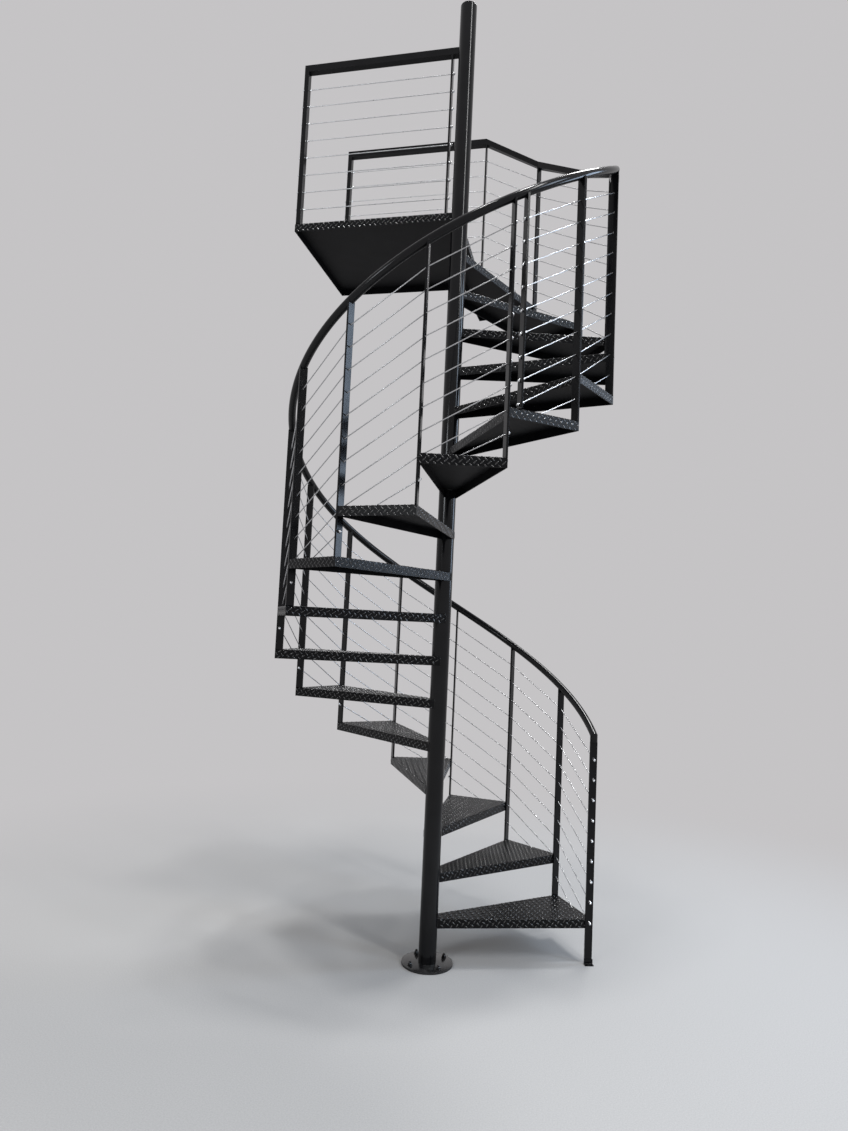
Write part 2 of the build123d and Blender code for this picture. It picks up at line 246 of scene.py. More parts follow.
class Nodes:
    """Short names for building a material's node tree."""

    def __init__(self, name):
        self.material = bpy.data.materials.new(name)
        self.material.use_nodes = True
        self.tree = self.material.node_tree
        self.shader = self.tree.nodes["Principled BSDF"]

    def add(self, kind, values=None, **settings):
        node = self.tree.nodes.new(kind)
        for key, value in settings.items():
            setattr(node, key, value)
        for key, value in (values or {}).items():
            node.inputs[key].default_value = value
        return node

    def link(self, source, target):
        self.tree.links.new(source, target)

    def shade(self, source, key):
        self.link(source, self.shader.inputs[key])

    def place(self):
        return self.add("ShaderNodeTexCoord").outputs["Object"]

    def split(self, vector):
        node = self.add("ShaderNodeSeparateXYZ")
        self.link(vector, node.inputs["Vector"])
        return node.outputs

    def noise(self, vector, scale, detail=3.0, roughness=0.5):
        node = self.add("ShaderNodeTexNoise", {"Scale": scale, "Detail": detail, "Roughness": roughness})
        self.link(vector, node.inputs["Vector"])
        return node.outputs["Fac"]

    def ramp(self, value, stops):
        node = self.add("ShaderNodeValToRGB")
        for element, (place, colour) in zip(node.color_ramp.elements, stops):
            element.position = place
            element.color = (*colour, 1.0)
        self.link(value, node.inputs["Fac"])
        return node.outputs["Color"]

    def span(self, value, low, high, to_low, to_high):
        node = self.add("ShaderNodeMapRange", {
            "From Min": low, "From Max": high, "To Min": to_low, "To Max": to_high,
        })
        self.link(value, node.inputs["Value"])
        return node.outputs["Result"]

    def math(self, operation, first, second=0.0):
        node = self.add("ShaderNodeMath", operation=operation)
        for socket, value in zip(node.inputs, (first, second)):
            if isinstance(value, (int, float)):
                socket.default_value = value
            else:
                self.link(value, socket)
        return node.outputs["Value"]

    def mix(self, factor, first, second):
        node = self.add("ShaderNodeMix", data_type="RGBA")
        self.link(factor, node.inputs["Factor"])
        for key, value in (("A", first), ("B", second)):
            if isinstance(value, tuple):
                node.inputs[key].default_value = (*value, 1.0)
            else:
                self.link(value, node.inputs[key])
        return node.outputs["Result"]

    def bump(self, height, distance, strength, normal=None):
        node = self.add("ShaderNodeBump", {"Distance": distance, "Strength": strength})
        self.link(height, node.inputs["Height"])
        if normal is not None:
            self.link(normal, node.inputs["Normal"])
        return node.outputs["Normal"]

    def facing_up(self):
        return self.split(self.add("ShaderNodeNewGeometry").outputs["Normal"])["Z"]


def coated_steel(name, rough_low, rough_high, dust, gloss, edge_r=0.0, peel=0.12, folds=False):
    """Black powder coat: fine orange peel, cloudy sheen, dust where it settles, polished folds."""
    n = Nodes(name)
    n.shader.inputs["Specular IOR Level"].default_value = gloss
    place = n.place()
    facing = n.facing_up()
    cloud = n.noise(place, 9.0, 5.0, 0.6)
    base = n.ramp(cloud, [(0.3, COAT_DARK), (0.7, COAT_LIGHT)])
    settled = n.span(facing, 0.6, 1.0, 0.0, dust)
    patches = n.span(n.noise(place, 17.0, 6.0, 0.7), 0.42, 0.72, 0.0, 1.0)
    n.shade(n.mix(n.math("MULTIPLY", settled, patches), base, DUST), "Base Color")
    sheen = n.span(cloud, 0.3, 0.7, rough_low, rough_high)
    underside = n.span(facing, -1.0, -0.5, UNDERSIDE_ROUGH, 0.0)
    sheen = n.math("MAXIMUM", sheen, underside)
    if folds:
        off_flange = n.span(facing, 0.15, 0.35, 0.0, 1.0)
        off_top = n.span(facing, 0.88, 0.98, 1.0, 0.0)
        on_fold = n.math("MULTIPLY", off_flange, off_top)
        sheen = n.math("SUBTRACT", sheen, n.math("MULTIPLY", on_fold, FOLD_POLISH))
    n.shade(sheen, "Roughness")
    rounded = None
    if edge_r:
        rounded = n.add("ShaderNodeBevel", {"Radius": edge_r}, samples=4).outputs["Normal"]
    n.shade(n.bump(n.noise(place, 620.0, 2.0), COAT_BUMP, peel, rounded), "Normal")
    return n.material


def stainless(name, rough_low, rough_high, painted_shade=1.0):
    """Bright metal with a cloudy polish. Gives the nodes, so that more can be added."""
    n = Nodes(name)
    n.shader.inputs["Metallic"].default_value = 1.0
    cloud = n.noise(n.place(), 60.0, 3.0)
    # A factor below one darkens the colour as painted shade.
    low, high = (tuple(painted_shade * part for part in colour) for colour in (STEEL_DARK, STEEL_LIGHT))
    n.shade(n.ramp(cloud, [(0.3, low), (0.7, high)]), "Base Color")
    n.shade(n.span(cloud, 0.3, 0.7, rough_low, rough_high), "Roughness")
    return n


def wire_rope(name):
    """Stainless rope, its colour darkened by painted shade: strands wind round it, drawn from the tube's own
    unrolled coordinates.
    """
    n = stainless(name, 0.26, 0.36, ROPE_PAINTED_SHADE)
    unrolled = n.split(n.add("ShaderNodeTexCoord").outputs["UV"])
    turns = n.math("MULTIPLY", unrolled["X"], ROPE_STRANDS * 2 * math.pi)
    travel = n.math("MULTIPLY", unrolled["Y"], 2 * math.pi / STRAND_PITCH)
    wave = n.math("SINE", n.math("ADD", turns, travel))
    n.shade(n.bump(wave, STRAND_BUMP, 0.07), "Normal")
    return n.material


satin_black = coated_steel("satin_black", 0.13, 0.21, 0.03, 0.20, edge_r=0.0012, peel=0.08)
round_black = coated_steel("round_black", 0.10, 0.16, 0.02, 0.26, peel=0.01)
tread_black = coated_steel("tread_black", 0.28, 0.38, 0.04, 0.13, peel=0.10, folds=True)
pattern_black = coated_steel("pattern_black", 0.10, 0.18, 0.02, 1.00, peel=0.02)
weld_black = coated_steel("weld_black", 0.13, 0.20, 0.0, 0.30)
foot_black = coated_steel("foot_black", 0.14, 0.26, 0.30, 0.60, peel=0.03)
bolt_black = coated_steel("bolt_black", 0.14, 0.22, 0.0, 0.45, peel=0.03)
bright_steel = stainless("bright_steel", 0.16, 0.28).material
rope_steel = wire_rope("rope_steel")


def coat_solids():
    """Coats for the solids that are shown. The others are replaced by pieces with their own."""
    for name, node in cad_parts.items():
        coat = tread_black if name.startswith("tread") or name == "landing" else satin_black
        for material_slot in node.material_slots:
            material_slot.material = coat


coat_solids()


# Mesh building
def around(axis):
    """Two directions square to an axis and to each other."""
    side = axis.orthogonal().normalized()
    return side, axis.cross(side)


def skin(rings, sides, closed=False):
    """Faces between rings of points that follow one another, with both ends capped."""
    faces = []
    for i in range(rings if closed else rings - 1):
        j = (i + 1) % rings
        for k in range(sides):
            m = (k + 1) % sides
            faces.append((i * sides + k, i * sides + m, j * sides + m, j * sides + k))
    if not closed:
        faces.append(tuple(range(sides - 1, -1, -1)))
        faces.append(tuple((rings - 1) * sides + k for k in range(sides)))
    return faces


class Shape:
    """Points and faces gathered for one piece, with coordinates unrolled along tubes."""

    def __init__(self):
        self.points = []
        self.faces = []
        self.unrolled = []

    def add(self, points, faces, unrolled=None):
        start = len(self.points)
        self.points += [tuple(p) for p in points]
        for i, face in enumerate(faces):
            self.faces.append(tuple(start + j for j in face))
            self.unrolled += unrolled[i] if unrolled else [(0.0, 0.0)] * len(face)

    def tube(self, line, radius, sides, scales=None, closed=False):
        """Round tube along a line of points, mitred where it bends.

        Known fault: a closed line with a square corner at its start gives a flat strip. The first ring is
        drawn square to the first span, but it is slid along the last one.
        """
        count = len(line)
        spans = [line[(i + 1) % count] - line[i] for i in range(count if closed else count - 1)]
        runs = [span.normalized() for span in spans]
        side, other = around(runs[0])
        angles = [2 * math.pi * j / sides for j in range(sides)]
        offsets = [(side * math.cos(a) + other * math.sin(a)) * radius for a in angles]
        points = []
        for i in range(count):
            before = runs[i - 1] if closed or i else runs[0]
            after = runs[i] if i < len(runs) else runs[-1]
            normal = (before + after).normalized()
            ring = [o - before * (o.dot(normal) / before.dot(normal)) for o in offsets]
            scale = scales[i] if scales else 1.0
            points += [line[i] + o * scale for o in ring]
            offsets = [(o - after * o.dot(after)).normalized() * radius for o in ring]
        unrolled = []
        low = 0.0
        for span in spans:
            high = low + span.length
            for k in range(sides):
                left, right = k / sides, (k + 1) / sides
                unrolled.append([(left, low), (right, low), (right, high), (left, high)])
            low = high
        if not closed:
            unrolled += [[(0.0, 0.0)] * sides] * 2
        self.add(points, skin(count, sides, closed), unrolled)

    def turned(self, place, axis, profile, sides):
        """Solid turned round an axis, from pairs of radius and height."""
        side, other = around(axis)
        points = []
        for radius, height in profile:
            for j in range(sides):
                a = 2 * math.pi * j / sides
                points.append(place + axis * height + (side * math.cos(a) + other * math.sin(a)) * radius)
        self.add(points, skin(len(profile), sides))

    def piece(self, name, material, slot, replaces=(), crease=35.0):
        """Makes the gathered shape a piece, shaded smooth below the crease angle."""
        mesh = bpy.data.meshes.new(name)
        mesh.from_pydata(self.points, [], self.faces)
        layer = mesh.uv_layers.new(name="unrolled")
        layer.data.foreach_set("uv", np.array(self.unrolled, np.float32).ravel())
        mesh.materials.append(material)
        mesh.shade_smooth()
        mesh.set_sharp_from_angle(angle=math.radians(crease))
        piece = bpy.data.objects.new(name, mesh)
        bpy.context.scene.collection.objects.link(piece)
        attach(piece, "root")
        if replaces:
            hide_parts(*replaces)


def dome(radius, height, round_r, degrees):
    """Profile points of a rounded upper edge, at each of the given angles above level."""
    points = []
    for angle in degrees:
        a = math.radians(angle)
        points.append((radius - round_r + round_r * math.cos(a), height - round_r + round_r * math.sin(a)))
    return points


# Round steel: column, cap, foot plate and handrail
def add_column():
    bore_r = COLUMN_R - COLUMN_WALL
    profile = [(bore_r, BASE_T), (COLUMN_R, BASE_T), (COLUMN_R, COLUMN_TOP), (bore_r, COLUMN_TOP)]
    tube = Shape()
    tube.turned(ORIGIN, UP, profile, COLUMN_SIDES)
    tube.piece("column_tube", round_black, "coated_steel", ["column"])


def add_cap():
    profile = [(COLUMN_R, 0.0)] + dome(COLUMN_R, CAP_T, CAP_EDGE_R, range(0, 91, 15))
    cap = Shape()
    cap.turned(UP * COLUMN_TOP, UP, profile, COLUMN_SIDES)
    cap.piece("column_top", round_black, "coated_steel", ["column_cap"])


def add_foot():
    cut = BASE_EDGE_CUT * BASE_EDGE
    profile = [
        (BASE_R, 0.0),
        (BASE_R, BASE_T - BASE_EDGE),
        (BASE_R - cut, BASE_T - cut),
        (BASE_R - BASE_EDGE, BASE_T),
    ]
    foot = Shape()
    foot.turned(ORIGIN, UP, profile, COLUMN_SIDES)
    foot.piece("foot_plate", foot_black, "coated_steel", ["base_plate"])


def add_handrail():
    start = azimuth(0)
    end = azimuth(RAIL_LAST_POST) + RAIL_OVERRUN / POST_RADIUS
    line = [rail_point(start) - UP * RAIL_DROP]
    line += [rail_point(start + (end - start) * i / RAIL_STEPS) for i in range(RAIL_STEPS)]
    scales = [1.0] * len(line)
    tip = rail_point(end)
    back = (line[-1] - tip).normalized()
    for i in range(RAIL_TIP_STEPS + 1):
        a = math.radians(90 * i / RAIL_TIP_STEPS)
        line.append(tip + back * RAIL_TIP_R * (1 - math.sin(a)))
        scales.append((RAIL_R - RAIL_TIP_R + RAIL_TIP_R * math.cos(a)) / RAIL_R)
    rail = Shape()
    rail.tube(line, RAIL_R, RAIL_SIDES, scales)
    rail.piece("handrail_tube", round_black, "coated_steel", ["handrail"])


add_column()
add_cap()
add_foot()
add_handrail()


# Wire ropes with their end buttons and swaged sleeves
def post_face(centre, outward, facing, thickness, sunk):
    """Where a line from a post's middle leaves it, less the depth that a fitting is sunk."""
    return centre + outward * (thickness / 2 / abs(outward.dot(tangent(facing))) - sunk)


def add_fitting(shape, centre, outward, facing, thickness):
    """Domed button with a shallow socket in its head."""
    outward = outward.normalized()
    seat = post_face(centre, outward, facing, thickness, FITTING_SUNK)
    length = FITTING_L + FITTING_SUNK
    profile = [(FITTING_R, 0.0)]
    profile += dome(FITTING_R, length, FITTING_DOME_R, range(0, 76, 15))
    profile += [(SOCKET_R, length), (SOCKET_FLOOR_R, length - SOCKET_DEPTH)]
    shape.turned(seat, outward, profile, FITTING_SIDES)


def add_ferrule(shape, centre, outward, facing, thickness):
    """Sleeve pressed on a cable, chamfered where the cable comes out."""
    outward = outward.normalized()
    seat = post_face(centre, outward, facing, thickness, FERRULE_SUNK)
    length = FERRULE_L + FERRULE_SUNK
    profile = [
        (FERRULE_R, 0.0),
        (FERRULE_R, length - FERRULE_EDGE),
        (FERRULE_R - FERRULE_EDGE, length),
        (CABLE_R, length),
    ]
    shape.turned(seat, outward, profile, FERRULE_SIDES)


def add_lower_row(ropes, buttons, k):
    """Cable row k from the newel post to the post where the rows are broken."""
    nodes = [post_point(n, n * RISER + hole_z(k)) for n in range(BREAK_POST + 1)]
    ropes.tube(nodes, CABLE_R, CABLE_SIDES)
    add_fitting(buttons, nodes[0], nodes[0] - nodes[1], azimuth(0), POST_T)
    if k > 1:
        add_fitting(buttons, nodes[-1], nodes[-1] - nodes[-2], azimuth(BREAK_POST), POST_T)


def add_upper_row(ropes, buttons, sleeves, k):
    """Cable row k from the break to the corner post, and all but the first on to the far end post."""
    nodes = [at_height(radial(BREAK_ANGLE) * POST_RADIUS, BREAK_LEVEL + hole_z(k))]
    nodes += [post_point(n, n * RISER + hole_z(k)) for n in range(BREAK_POST + 1, TREADS + 1)]
    add_fitting(buttons, nodes[0], nodes[0] - nodes[1], BREAK_ANGLE, POST_T)
    add_ferrule(sleeves, nodes[0], nodes[1] - nodes[0], BREAK_ANGLE, POST_T)
    if k > 1:
        nodes.append(landing_point(END_POST_REACH, POST_RADIUS, TREADS * RISER + hole_z(k)))
        add_fitting(buttons, nodes[-1], LANDING_RUN, LANDING_FACING, END_POST_T)
        add_ferrule(sleeves, nodes[-1], -LANDING_RUN, LANDING_FACING, END_POST_T)
    ropes.tube(nodes, CABLE_R, CABLE_SIDES)


def add_landing_row(ropes, buttons, sleeves, k):
    """Level cable on the near side of the landing."""
    z = TREADS * RISER + hole_z(k)
    head = landing_point(NEAR_POST_REACH, SOUTH_LINE, z)
    tail = landing_point(END_POST_REACH, SOUTH_LINE, z)
    ropes.tube([head, tail], CABLE_R, CABLE_SIDES)
    add_fitting(buttons, head, -LANDING_RUN, LANDING_FACING, POST_T)
    add_fitting(buttons, tail, LANDING_RUN, LANDING_FACING, END_POST_T)
    add_ferrule(sleeves, tail, -LANDING_RUN, LANDING_FACING, END_POST_T)


def add_short_cable(ropes, buttons, n):
    """Steep cable from post n to the outer edge of its tread."""
    head = post_point(n, n * RISER + hole_z(0))
    tail = short_cable_end(n)
    ropes.tube([head, tail - UP * SHORT_CABLE_SUNK], CABLE_R, CABLE_SIDES)
    add_fitting(buttons, head, head - tail, azimuth(n), POST_T)


def add_cables():
    lower, upper, level, short, buttons, sleeves = (Shape() for _ in range(6))
    for k in range(1, HOLES):
        add_lower_row(lower, buttons, k)
        add_upper_row(upper, buttons, sleeves, k)
    for k in range(2, HOLES):
        add_landing_row(level, buttons, sleeves, k)
    for n in range(1, TREADS + 1):
        add_short_cable(short, buttons, n)
    lower.piece("ropes_lower", rope_steel, "stainless", ["cables_lower"])
    upper.piece("ropes_upper", rope_steel, "stainless", ["cables_upper"])
    level.piece("ropes_landing", rope_steel, "stainless", ["cables_landing"])
    short.piece("ropes_short", rope_steel, "stainless", ["cables_short"])
    buttons.piece("cable_buttons", bright_steel, "stainless", ["cable_fittings"])
    sleeves.piece("cable_sleeves", bright_steel, "stainless", ["cable_ferrules"])


add_cables()

# Raised chequer pattern, laid out on the flat sheet and carried over the folds of each pan
CELL = 0.015
NUB_HALF_L = 0.0120
NUB_HALF_W = 0.0036
NUB_H = 0.0017
NUB_SUNK = 0.0002
SHOULDER_L = 0.86
SHOULDER_W = 0.66
SHOULDER_H = 0.72
ARC = BEND_R * math.pi / 2
FOLDED = ARC + FLANGE - BEND_R
SHEET_REACH = 1.3
EDGE_CLEAR = 0.002
FLANGE_CLEAR = 0.003
COLUMN_CLEAR = 0.009
FLANGE_COLUMN_CLEAR = 0.004
CORNER_CLEAR = 0.0005
RIM_CLEAR = 0.0002
CUT_STEP = (0.0073, 0.0041)
CUT_START_ACROSS = 0.006
CUT_RANGE_ACROSS = 0.005
LANDING_CUT = (0.004, 0.009)


def nub_template():
    """One lens shaped nub lying along x: its foot, its shoulder and its peak."""
    ring = [(1, 0), (0.55, 0.70), (0, 1), (-0.55, 0.70), (-1, 0), (-0.55, -0.70), (0, -1), (0.55, -0.70)]
    points = [(x * NUB_HALF_L, y * NUB_HALF_W, -NUB_SUNK) for x, y in ring]
    length, width, height = NUB_HALF_L * SHOULDER_L, NUB_HALF_W * SHOULDER_W, NUB_H * SHOULDER_H
    points += [(x * length, y * width, height) for x, y in ring]
    points += [(0, 0, NUB_H)]
    faces = []
    count = len(ring)
    for i in range(count):
        j = (i + 1) % count
        faces.append((i, j, count + j, count + i))
        faces.append((count + i, count + j, 2 * count))
    return np.array(points), faces


class Pan:
    """Outline of a folded pan in plan, with each edge's length, direction and inward direction."""

    def __init__(self, outline):
        self.corners = np.array([(p.x, p.y) for p in outline])
        runs = np.roll(self.corners, -1, axis=0) - self.corners
        self.lengths = np.linalg.norm(runs, axis=1)
        self.along = runs / self.lengths[:, None]
        self.inward = np.stack([-self.along[:, 1], self.along[:, 0]], axis=1)

    def measure(self, points, directions):
        """How far points lie in each edge's direction from the edge's start."""
        edges = range(len(self.corners))
        return np.stack([(points - self.corners[k]) @ directions[k] for k in edges], axis=1)


def nub_centres(pan, folds, row_edge, shift):
    """Every second cell of the sheet that has room for a nub, with its nearest fold and its parity."""
    reach = int(SHEET_REACH / CELL)
    i, j = np.meshgrid(np.arange(-reach, reach), np.arange(-reach, reach))
    keep = (i + j) % 2 == 0
    i, j = i[keep], j[keep]
    centres = pan.corners[row_edge] + np.outer(i * CELL + shift[0], pan.along[row_edge])
    centres = centres + np.outer(j * CELL + shift[1], pan.inward[row_edge])
    depth = pan.measure(centres, pan.inward)
    place = pan.measure(centres, pan.along)
    open_edges = [k for k in range(len(pan.corners)) if k not in folds]
    nearest = np.array(folds)[np.argmin(depth[:, folds], axis=1)]
    rows = np.arange(len(centres))
    past_fold = BEND_R - depth[rows, nearest]
    along_fold = place[rows, nearest]
    on_top = (past_fold <= 0) & np.all(depth[:, open_edges] > EDGE_CLEAR, axis=1)
    on_flange = (past_fold > 0) & (past_fold < FOLDED - FLANGE_CLEAR)
    on_flange &= (along_fold > EDGE_CLEAR) & (along_fold < pan.lengths[nearest] - EDGE_CLEAR)
    for k in folds:
        on_flange &= (nearest == k) | (depth[:, k] > 0.0)
        foot = pan.corners[k] + np.outer(place[:, k], pan.along[k])
        at_column = np.hypot(foot[:, 0], foot[:, 1]) < COLUMN_R + FLANGE_COLUMN_CLEAR
        on_flange &= ~((nearest == k) & at_column)
    clear = np.hypot(centres[:, 0], centres[:, 1]) > COLUMN_R + COLUMN_CLEAR
    chosen = clear & (on_top | on_flange)
    return centres[chosen], nearest[chosen], j[chosen] % 2


def fold_over(pan, plan, height, nearest, top):
    """Carries points of the flat sheet round the nearest fold and down its flange."""
    start, along, inward = (part[nearest][:, None, :] for part in (pan.corners, pan.along, pan.inward))
    s = np.sum((plan - start) * along, axis=2)
    t = BEND_R - np.sum((plan - start) * inward, axis=2)
    folded = t > 0
    s = np.where(folded, np.clip(s, CORNER_CLEAR, pan.lengths[nearest][:, None] - CORNER_CLEAR), s)
    t = np.minimum(t, FOLDED - RIM_CLEAR)
    bend = np.clip(t / BEND_R, 0, math.pi / 2)
    down = np.maximum(t - ARC, 0)
    deep = np.where(folded, BEND_R - (BEND_R + height) * np.sin(bend), BEND_R - t)
    z = np.where(folded, top - BEND_R + (BEND_R + height) * np.cos(bend) - down, top + height)
    placed = start + s[..., None] * along + deep[..., None] * inward
    return np.concatenate([placed, z[..., None]], axis=2)


def add_pattern(name, outline, folds, top, row_edge, shift):
    """Nubs on one pan. folds are the outline's edges that turn down, and the rows follow row_edge."""
    pan = Pan(outline)
    centres, nearest, parity = nub_centres(pan, folds, row_edge, shift)
    template, faces = nub_template()
    angle = np.where(parity == 0, math.pi / 4, -math.pi / 4)
    cos, sin = np.cos(angle)[:, None], np.sin(angle)[:, None]
    a = template[None, :, 0] * cos - template[None, :, 1] * sin
    b = template[None, :, 0] * sin + template[None, :, 1] * cos
    plan = centres[:, None, :] + a[..., None] * pan.along[row_edge] + b[..., None] * pan.inward[row_edge]
    nubs = Shape()
    for points in fold_over(pan, plan, template[None, :, 2], nearest, top):
        nubs.add(points.tolist(), faces)
    nubs.piece(name, pattern_black, "coated_steel", crease=60.0)


def cut_shift(n):
    """Where the sheet of tread n is cut out of the pattern."""
    along = (CUT_STEP[0] * n) % (2 * CELL)
    across = CUT_START_ACROSS + (CUT_STEP[1] * n) % CUT_RANGE_ACROSS
    return along, across


for n in range(1, TREADS + 1):
    add_pattern(f"tread_{n:02d}_pattern", tread_outline(n), [0, 1, 2], n * RISER, 1, cut_shift(n))
add_pattern("landing_pattern", landing_outline(), [0, 1, 2, 3], LANDING_LEVEL, 3, LANDING_CUT)

# Weld beads
POST_BEAD_R = 0.0026
HUB_BEAD_R = 0.0030
FLANGE_BEAD_R = 0.0028
BEAD_PITCH = 0.004
BEAD_RIPPLE = (0.82, 1.12)
BEAD_END = 0.45
BEAD_SIDES = 7
ARC_STEP = 0.12
FLANGE_BEAD_INSET = 0.002
LANDING_ARC = (LANDING_FACING - 0.1, math.pi)
rng = random.Random(7)


def bead(shape, line, radius, closed=False):
    """Weld bead: a small tube whose thickness ripples along its length."""
    fine = []
    count = len(line)
    for i in range(count if closed else count - 1):
        head, tail = line[i], line[(i + 1) % count]
        steps = max(1, int((tail - head).length / BEAD_PITCH))
        fine += [head.lerp(tail, j / steps) for j in range(steps)]
    if not closed:
        fine.append(line[-1])
    scales = [rng.uniform(*BEAD_RIPPLE) for _ in fine]
    if not closed:
        scales[0] = scales[-1] = BEAD_END
    shape.tube(fine, radius, BEAD_SIDES, scales, closed)


def foot_bead(shape, centre, facing, thickness, z):
    """Bead all round the foot of a post. It comes out as a flat upright strip: see Shape.tube."""
    a, b = radial(facing) * (POST_W / 2), tangent(facing) * (thickness / 2)
    base = at_height(centre, z)
    bead(shape, [base - a - b, base + a - b, base + a + b, base - a + b], POST_BEAD_R, closed=True)


def column_arc(start, end, z):
    count = max(4, int(abs(end - start) / ARC_STEP))
    angles = [start + (end - start) * i / count for i in range(count + 1)]
    return [at_height(radial(angle) * COLUMN_R, z) for angle in angles]


def pan_arc(outline):
    """Angles between which a tread's front and back edges meet the column."""
    angles = []
    for i, sign in ((0, 1), (2, -1)):
        run = (outline[i + 1] - outline[i]).normalized()
        middle = outline[i] - run * outline[i].dot(run)
        half = math.sqrt(COLUMN_R**2 - middle.length_squared)
        point = middle + run * (sign * half)
        angles.append(math.atan2(point.y, point.x))
    if angles[1] < angles[0]:
        angles[1] += 2 * math.pi
    return angles


def add_tread_welds(feet, hub, n):
    """Beads at the foot of post n and where its tread's plate and flanges meet the column."""
    level = n * RISER
    foot_bead(feet, post_point(n, 0), azimuth(n), POST_T, level)
    start, end = pan_arc(tread_outline(n))
    for z in (level, level - PLATE_T):
        bead(hub, column_arc(start, end, z), HUB_BEAD_R)
    for angle in (start, end):
        top = at_height(radial(angle) * COLUMN_R, level - FLANGE_BEAD_INSET)
        bead(hub, [top, top - UP * (FLANGE - 2 * FLANGE_BEAD_INSET)], FLANGE_BEAD_R)


def add_welds():
    feet, hub = Shape(), Shape()
    for n in range(1, TREADS + 1):
        add_tread_welds(feet, hub, n)
    foot_bead(feet, radial(BREAK_ANGLE) * POST_RADIUS, BREAK_ANGLE, POST_T, (BREAK_POST + 1) * RISER)
    for along, across, thickness in (
        (END_POST_REACH, POST_RADIUS, END_POST_T),
        (END_POST_REACH, SOUTH_LINE, END_POST_T),
        (NEAR_POST_REACH, SOUTH_LINE, POST_T),
    ):
        foot_bead(feet, landing_point(along, across, 0), LANDING_FACING, thickness, LANDING_LEVEL)
    for z in (LANDING_LEVEL, LANDING_LEVEL - PLATE_T):
        bead(hub, column_arc(*LANDING_ARC, z), HUB_BEAD_R)
    feet.piece("post_welds", weld_black, "coated_steel", crease=80.0)
    hub.piece("column_welds", weld_black, "coated_steel", crease=80.0)


add_welds()

# Anchors of the foot plate and the screw of the newel clip
ANCHORS = 4
WASHER_R = 0.0128
WASHER_T = 0.0025
WASHER_EDGE = 0.0005
WASHER_BORE_R = 0.006
WASHER_SIDES = 32
NUT_FLATS = 0.019
NUT_T = 0.010
NUT_BORE_R = 0.0055
STUD_ROOT_R = 0.0058
THREAD_DEPTH = 0.0004
THREAD_START = 0.008
THREAD_STEP = 0.00088
THREAD_STEPS = 14
STUD_TIP = (0.0050, 0.0208)
STUD_SIDES = 20
SCREW_FLATS = 0.010
SCREW_T = 0.0045
SCREW_SOCKET_R = 0.002
HEX_SHOULDER = 0.86
HEX_CROWN = 0.90


def add_hex(shape, place, across_flats, thickness, bore_r):
    """Upright hexagon with a chamfered top."""
    corner = across_flats / math.sqrt(3)
    profile = [
        (corner, 0.0),
        (corner, thickness * HEX_SHOULDER),
        (corner * HEX_CROWN, thickness),
        (bore_r, thickness),
    ]
    shape.turned(place, UP, profile, 6)


def add_anchor(shape, place):
    washer = [
        (WASHER_R, 0.0),
        (WASHER_R, WASHER_T - WASHER_EDGE),
        (WASHER_R - WASHER_EDGE, WASHER_T),
        (WASHER_BORE_R, WASHER_T),
    ]
    shape.turned(place, UP, washer, WASHER_SIDES)
    add_hex(shape, place + UP * WASHER_T, NUT_FLATS, NUT_T, NUT_BORE_R)
    stud = []
    for j in range(THREAD_STEPS):
        stud.append((STUD_ROOT_R + THREAD_DEPTH * (j % 2), THREAD_START + THREAD_STEP * j))
    shape.turned(place, UP, stud + [STUD_TIP], STUD_SIDES)


def add_bolts():
    bolts = Shape()
    for i in range(ANCHORS):
        angle = math.pi / 4 + i * 2 * math.pi / ANCHORS
        add_anchor(bolts, radial(angle) * BOLT_CIRCLE_R + UP * BASE_T)
    screw_reach = POST_T / 2 + (CLIP_LEG + CLIP_T) / 2
    screw_place = post_point(0, CLIP_T) - tangent(azimuth(0)) * screw_reach
    add_hex(bolts, screw_place, SCREW_FLATS, SCREW_T, SCREW_SOCKET_R)
    bolts.piece("bolts", bolt_black, "coated_steel", crease=25.0)


add_bolts()

# Stage
BACKDROP = (0.56, 0.55, 0.56)
FLOOR_DARK = (0.44, 0.436, 0.432)
FLOOR_LIGHT = (0.51, 0.505, 0.50)
FLOOR_SIZE = 80.0
FLOOR_FADE = (1.3, 4.6)
SOFT_LIGHT = (0.80, 0.80, 0.81)
SOFT_STRENGTH = 0.55


def floor_material():
    """Pale floor that melts into the backdrop colour away from the stair."""
    n = Nodes("floor")
    place = n.place()
    grain = n.noise(place, 180.0, 2.0)
    n.shade(n.ramp(grain, [(0.3, FLOOR_DARK), (0.7, FLOOR_LIGHT)]), "Base Color")
    n.shader.inputs["Roughness"].default_value = 0.75
    away = n.add("ShaderNodeVectorMath", operation="LENGTH")
    n.link(place, away.inputs[0])
    fade = n.add(
        "ShaderNodeMapRange",
        {"From Min": FLOOR_FADE[0], "From Max": FLOOR_FADE[1]},
        interpolation_type="SMOOTHSTEP",
    )
    n.link(away.outputs["Value"], fade.inputs["Value"])
    glow = n.add("ShaderNodeEmission", {"Color": (*BACKDROP, 1.0)})
    blend = n.add("ShaderNodeMixShader")
    n.link(fade.outputs["Result"], blend.inputs[0])
    n.link(n.shader.outputs[0], blend.inputs[1])
    n.link(glow.outputs[0], blend.inputs[2])
    n.link(blend.outputs[0], n.tree.nodes["Material Output"].inputs["Surface"])
    return n.material


def add_floor():
    half = FLOOR_SIZE / 2
    mesh = bpy.data.meshes.new("floor")
    mesh.from_pydata([(-half, -half, 0), (half, -half, 0), (half, half, 0), (-half, half, 0)], [], [range(4)])
    mesh.materials.append(floor_material())
    floor = bpy.data.objects.new("floor", mesh)
    bpy.context.scene.collection.objects.link(floor)


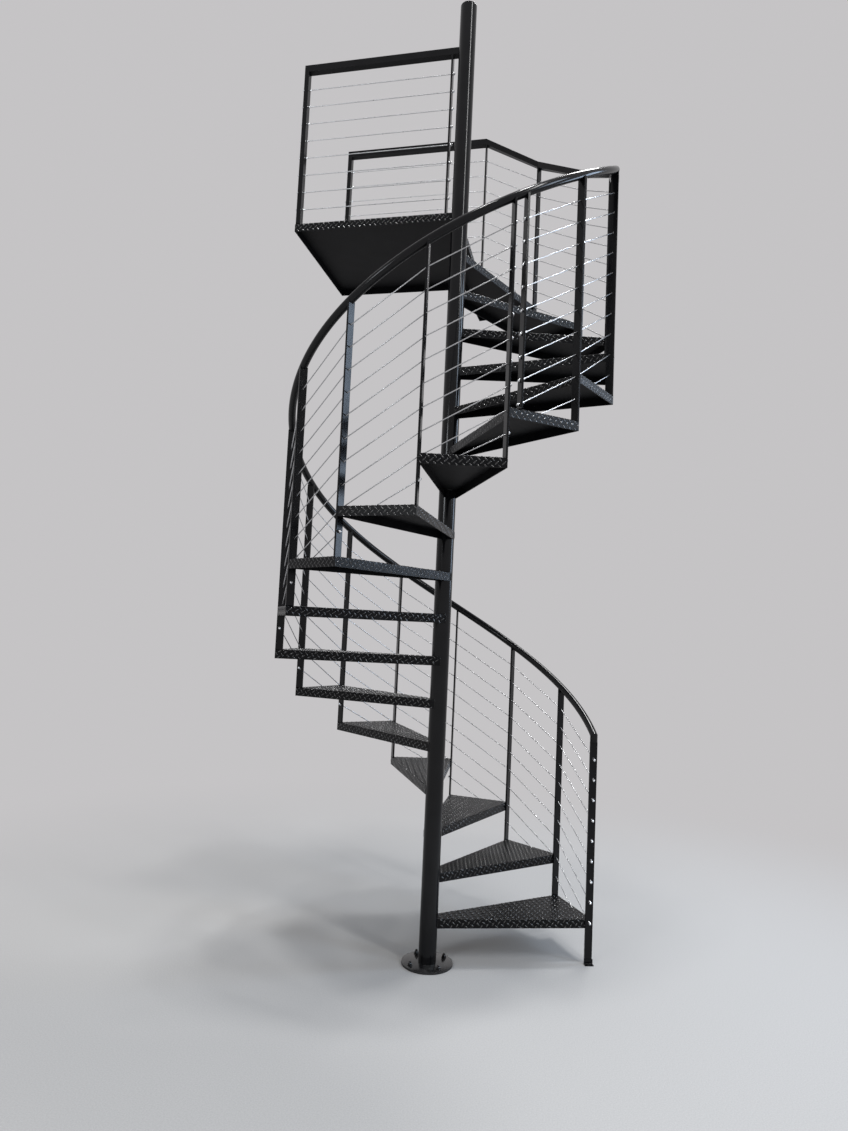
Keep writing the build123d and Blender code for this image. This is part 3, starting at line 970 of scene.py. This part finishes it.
def add_area(name, place, aim, width, height, power, colour=(1, 1, 1)):
    """Soft lamp, with its size in metres and its power in watts. The camera doesn't see it."""
    data = bpy.data.lights.new(name, "AREA")
    data.shape = "RECTANGLE"
    data.size = width
    data.size_y = height
    data.energy = power
    data.color = colour
    lamp = bpy.data.objects.new(name, data)
    lamp.location = place
    lamp.rotation_euler = (Vector(aim) - Vector(place)).to_track_quat("-Z", "Y").to_euler()
    lamp.visible_camera = False
    bpy.context.scene.collection.objects.link(lamp)


def add_lamps():
    """Overhead lamps, and cool windows on the right as in the photograph."""
    add_area("top", (1.8, -1.2, 14.0), (0, 0, 2.0), 0.9, 0.9, 340.0)
    add_area("ceiling", (-0.4, -2.6, 12.0), (0, 0, 2.0), 1.0, 1.0, 230.0)
    add_area("rim", (2.2, 4.4, 12.6), (0.3, 0, 3.0), 2.4, 1.6, 400.0)
    add_area("side", (5.5, -3.4, 8.6), (0, 0, 3.6), 0.6, 4.6, 180.0)
    add_area("window_back", (7.2, 3.2, 4.6), (0, 0, 3.2), 1.8, 4.8, 230.0, (0.62, 0.78, 1.0))
    add_area("window_front", (8.2, -1.6, 5.6), (0, 0, 3.2), 1.8, 3.4, 180.0, (0.70, 0.83, 1.0))
    add_area("fill", (-3.5, -7.0, 4.0), (0, 0, 2.4), 1.6, 1.6, 80.0, (0.90, 0.95, 1.0))


def add_world():
    """Soft light from all round, and the backdrop colour where camera, gloss or glass sees it."""
    world = bpy.data.worlds.new("world")
    bpy.context.scene.world = world
    world.use_nodes = True
    tree = world.node_tree
    soft = tree.nodes["Background"]
    soft.inputs["Color"].default_value = (*SOFT_LIGHT, 1.0)
    soft.inputs["Strength"].default_value = SOFT_STRENGTH
    seen = tree.nodes.new("ShaderNodeBackground")
    seen.inputs["Color"].default_value = (*BACKDROP, 1.0)
    rays = tree.nodes.new("ShaderNodeLightPath")
    direct = rays.outputs["Is Camera Ray"]
    for kind in ("Is Glossy Ray", "Is Transmission Ray"):
        either = tree.nodes.new("ShaderNodeMath")
        either.operation = "MAXIMUM"
        tree.links.new(direct, either.inputs[0])
        tree.links.new(rays.outputs[kind], either.inputs[1])
        direct = either.outputs["Value"]
    blend = tree.nodes.new("ShaderNodeMixShader")
    tree.links.new(direct, blend.inputs[0])
    tree.links.new(soft.outputs[0], blend.inputs[1])
    tree.links.new(seen.outputs[0], blend.inputs[2])
    tree.links.new(blend.outputs[0], tree.nodes["World Output"].inputs["Surface"])


add_floor()
add_lamps()
add_world()
bpy.context.scene.view_settings.view_transform = "Standard"
